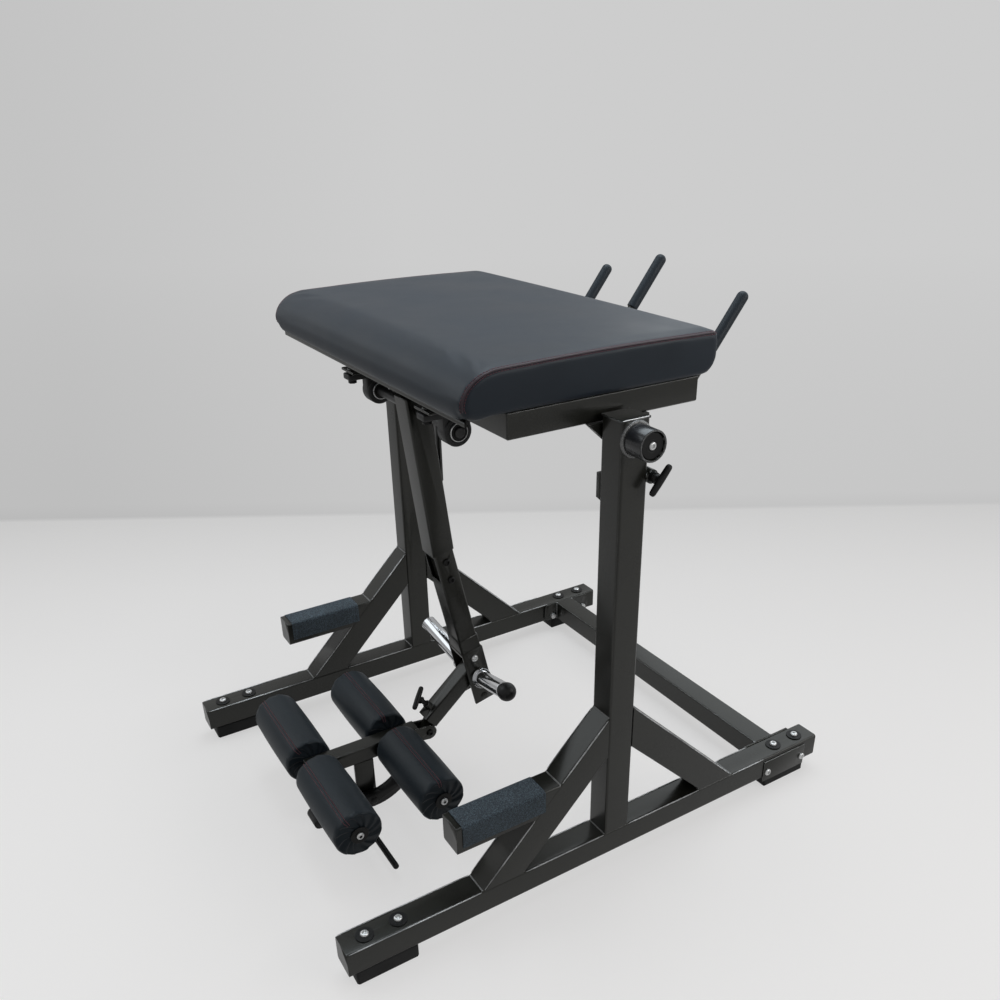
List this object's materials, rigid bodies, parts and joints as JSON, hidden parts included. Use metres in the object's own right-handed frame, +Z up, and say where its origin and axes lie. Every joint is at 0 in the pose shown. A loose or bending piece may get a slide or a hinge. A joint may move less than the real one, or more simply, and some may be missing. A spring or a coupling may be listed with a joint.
{
  "type": "reverse hyperextension machine",
  "caption": "Reverse hyperextension machine: padded hip bench on a welded frame, with a plate-loaded pendulum, foam leg rollers, hand rods and footholds.",
  "frame": {"origin": "on the floor in the middle of the base", "axes": "+X towards the side with the tilt pin, +Y from the leg rollers towards the hand rods, +Z up"},
  "size_m": [1.1206, 1.293, 1.2328],
  "materials": {
    "frame_paint": "dark olive-grey metallic paint over welded square tube, bright along worn edges",
    "pad_vinyl": "dark charcoal-blue vinyl upholstery with dark red double stitching",
    "grip_tape": "coarse blue-grey anti-slip tape",
    "grip_rubber": "matte dark rubber",
    "foot_rubber": "matte black rubber",
    "chrome": "polished chrome plate",
    "zinc": "bright zinc plate",
    "black_steel": "black oxide",
    "bearing_iron": "dark painted iron"
  },
  "bodies": {
    "floor_frame": {"rear_crossbar": "frame_paint", "rail_right": "frame_paint", "upright_right": "frame_paint", "front_brace_right": "frame_paint", "rear_brace_right": "frame_paint", "grip_tape_right": "grip_tape", "rubber_foot_front_right": "foot_rubber", "rail_bolts_front_right": "zinc", "rubber_foot_rear_right": "foot_rubber", "rail_bolts_rear_right": "zinc", "crossbar_bolt_1_right": "zinc", "crossbar_bolt_2_right": "zinc", "rail_left": "frame_paint", "upright_left": "frame_paint", "front_brace_left": "frame_paint", "rear_brace_left": "frame_paint", "grip_tape_left": "grip_tape", "rubber_foot_front_left": "foot_rubber", "rail_bolts_front_left": "zinc", "rubber_foot_rear_left": "foot_rubber", "rail_bolts_rear_left": "zinc", "crossbar_bolt_1_left": "zinc", "crossbar_bolt_2_left": "zinc"},
    "tilt_pull_pin": {"tilt_pin": "black_steel"},
    "pad_carrier": {"pad_frame": "frame_paint", "pad_board": "frame_paint", "pad": "pad_vinyl", "handle_frame": "frame_paint", "hand_grip_right": "grip_rubber", "hand_grip_middle": "grip_rubber", "hand_grip_left": "grip_rubber", "tilt_bracket_right": "frame_paint", "hub_cap_right": "black_steel", "bearing_mount_right": "frame_paint", "bearing_housing_right": "bearing_iron", "tilt_bracket_left": "frame_paint", "hub_cap_left": "black_steel", "bearing_mount_left": "frame_paint", "bearing_housing_left": "bearing_iron"},
    "pendulum": {"pendulum_shaft": "zinc", "upper_arm": "frame_paint", "lower_arm": "frame_paint", "arm_bolt_1": "black_steel", "arm_bolt_2": "black_steel", "cheek_bolt": "zinc", "weight_peg_right": "chrome", "weight_peg_left": "chrome", "peg_ball": "grip_rubber", "link": "frame_paint"},
    "link_pull_pin": {"link_pin": "black_steel"},
    "roller_head": {"roller_beam": "frame_paint", "head_bolt": "black_steel", "drop_leg": "frame_paint", "roller_axle_front": "black_steel", "roller_axle_rear": "black_steel"},
    "front_right_roller": {"roller_front_right": "pad_vinyl"},
    "front_left_roller": {"roller_front_left": "pad_vinyl"},
    "rear_right_roller": {"roller_rear_right": "pad_vinyl"},
    "rear_left_roller": {"roller_rear_left": "pad_vinyl"},
    "foot_lever": {"foot_lever": "black_steel"}
  },
  "joints": [
    {"name": "pad_tilt", "type": "hinge", "parent": "floor_frame", "child": "pad_carrier", "pos_m": [0, 0.0035, 1.011], "axis": [-1, 0, 0], "range_deg": [0, 20]},
    {"name": "tilt_pin_pull", "type": "slide", "parent": "floor_frame", "child": "tilt_pull_pin", "axis": [1, 0, 0], "range_m": [0, 0.012], "stiffness_N_per_m": 800, "springref_m": -0.005},
    {"name": "pendulum_swing", "type": "hinge", "parent": "pad_carrier", "child": "pendulum", "pos_m": [0, -0.1885, 0.976], "axis": [-1, 0, 0], "range_deg": [0, 95]},
    {"name": "link_pin_pull", "type": "slide", "parent": "pendulum", "child": "link_pull_pin", "axis": [0, -0.6521, 0.7581], "range_m": [0, 0.012], "stiffness_N_per_m": 800, "springref_m": -0.005},
    {"name": "roller_head_tilt", "type": "hinge", "parent": "pendulum", "child": "roller_head", "pos_m": [0, -0.2095, 0.145], "axis": [-1, 0, 0], "range_deg": [0, 30]},
    {"name": "front_right_roller_spin", "type": "hinge", "parent": "roller_head", "child": "front_right_roller", "pos_m": [0.148, -0.5105, 0.152], "axis": [1, 0, 0], "continuous": true},
    {"name": "front_left_roller_spin", "type": "hinge", "parent": "roller_head", "child": "front_left_roller", "pos_m": [-0.148, -0.5105, 0.152], "axis": [1, 0, 0], "continuous": true},
    {"name": "rear_right_roller_spin", "type": "hinge", "parent": "roller_head", "child": "rear_right_roller", "pos_m": [0.148, -0.3055, 0.152], "axis": [1, 0, 0], "continuous": true},
    {"name": "rear_left_roller_spin", "type": "hinge", "parent": "roller_head", "child": "rear_left_roller", "pos_m": [-0.148, -0.3055, 0.152], "axis": [1, 0, 0], "continuous": true},
    {"name": "foot_lever_turn", "type": "hinge", "parent": "roller_head", "child": "foot_lever", "pos_m": [0, -0.3845, 0.028], "axis": [-1, 0, 0], "range_deg": [0, 8]}
  ]
}
